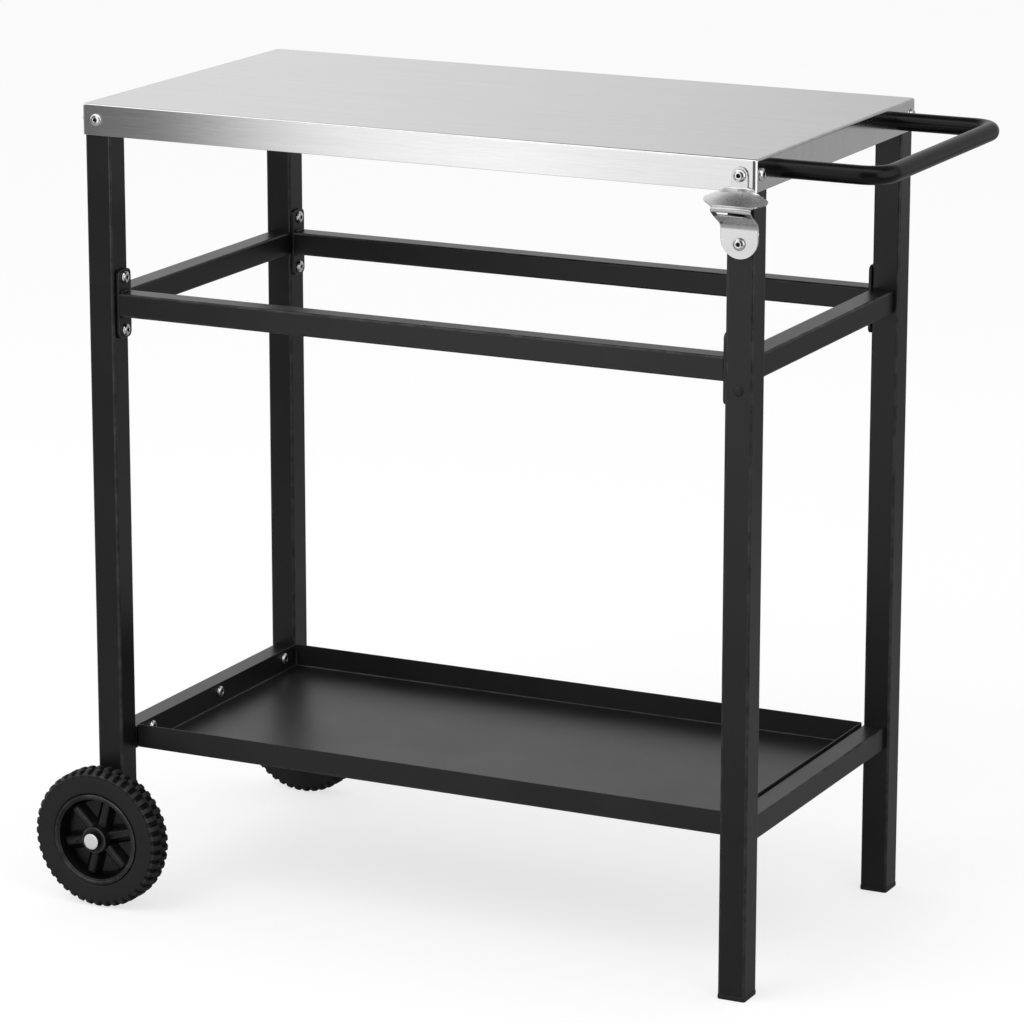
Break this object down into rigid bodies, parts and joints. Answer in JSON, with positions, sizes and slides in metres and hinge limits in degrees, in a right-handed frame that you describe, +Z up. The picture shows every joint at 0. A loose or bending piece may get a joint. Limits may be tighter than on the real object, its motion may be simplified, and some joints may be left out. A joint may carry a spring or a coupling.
{
  "type": "outdoor pizza oven table",
  "caption": "Wheeled outdoor table for a pizza oven: folded steel work top on a bolted square-tube frame, with a tray shelf, a push handle and a bottle opener.",
  "frame": {"origin": "on the floor, under the middle of the overall length and width", "axes": "+X towards the push handle, -Y towards the front with the bottle opener, +Z up"},
  "size_m": [0.9411, 0.503, 0.866],
  "materials": {
    "brushed_steel": "brushed stainless sheet, grain along its length",
    "black_coat": "satin black powder coat, fine texture",
    "screw_steel": "satin bright steel",
    "zinc_steel": "dull zinc plate",
    "bright_cap": "bright plated",
    "black_plastic": "matt moulded plastic",
    "wheel_plastic": "matt moulded plastic",
    "tyre_rubber": "matt rubber"
  },
  "bodies": {
    "table": {"axle_cap_front": "bright_cap", "axle_cap_rear": "bright_cap", "axle_pin_front": "zinc_steel", "axle_pin_rear": "zinc_steel", "axle_spacer_front": "zinc_steel", "axle_spacer_rear": "zinc_steel", "axle_washer_front": "zinc_steel", "axle_washer_rear": "zinc_steel", "bottle_opener": "brushed_steel", "foot_front_right": "black_plastic", "foot_rear_right": "black_plastic", "handle_plugs": "zinc_steel", "handle_screws": "screw_steel", "handle_tube": "black_coat", "handle_washers": "zinc_steel", "hole_plug": "black_plastic", "leg_front_left": "black_coat", "leg_front_right": "black_coat", "leg_plug_front_left": "black_plastic", "leg_plug_rear_left": "black_plastic", "leg_rear_left": "black_coat", "leg_rear_right": "black_coat", "mid_rail_front": "black_coat", "mid_rail_left": "black_coat", "mid_rail_rear": "black_coat", "mid_rail_right": "black_coat", "opener_nut": "zinc_steel", "opener_screws": "screw_steel", "rail_nuts": "zinc_steel", "rail_plate_front_left": "black_coat", "rail_plate_front_right": "black_coat", "rail_plate_rear_left": "black_coat", "rail_plate_rear_right": "black_coat", "rail_screws": "screw_steel", "shelf_rail_left": "black_coat", "shelf_rail_right": "black_coat", "shelf_tray": "black_coat", "top_nuts": "zinc_steel", "top_panel": "brushed_steel", "top_screws": "screw_steel", "top_stiffener_front": "black_coat", "top_stiffener_rear": "black_coat", "tray_nuts": "zinc_steel", "tray_screws": "screw_steel"},
    "front_wheel": {"tyre_front": "tyre_rubber", "wheel_rim_front": "wheel_plastic"},
    "rear_wheel": {"tyre_rear": "tyre_rubber", "wheel_rim_rear": "wheel_plastic"}
  },
  "joints": [
    {"name": "front_wheel_spin", "type": "hinge", "parent": "table", "child": "front_wheel", "pos_m": [-0.39465, -0.2276, 0.076], "axis": [0, 1, 0], "continuous": true},
    {"name": "rear_wheel_spin", "type": "hinge", "parent": "table", "child": "rear_wheel", "pos_m": [-0.39465, 0.2276, 0.076], "axis": [0, 1, 0], "continuous": true}
  ]
}
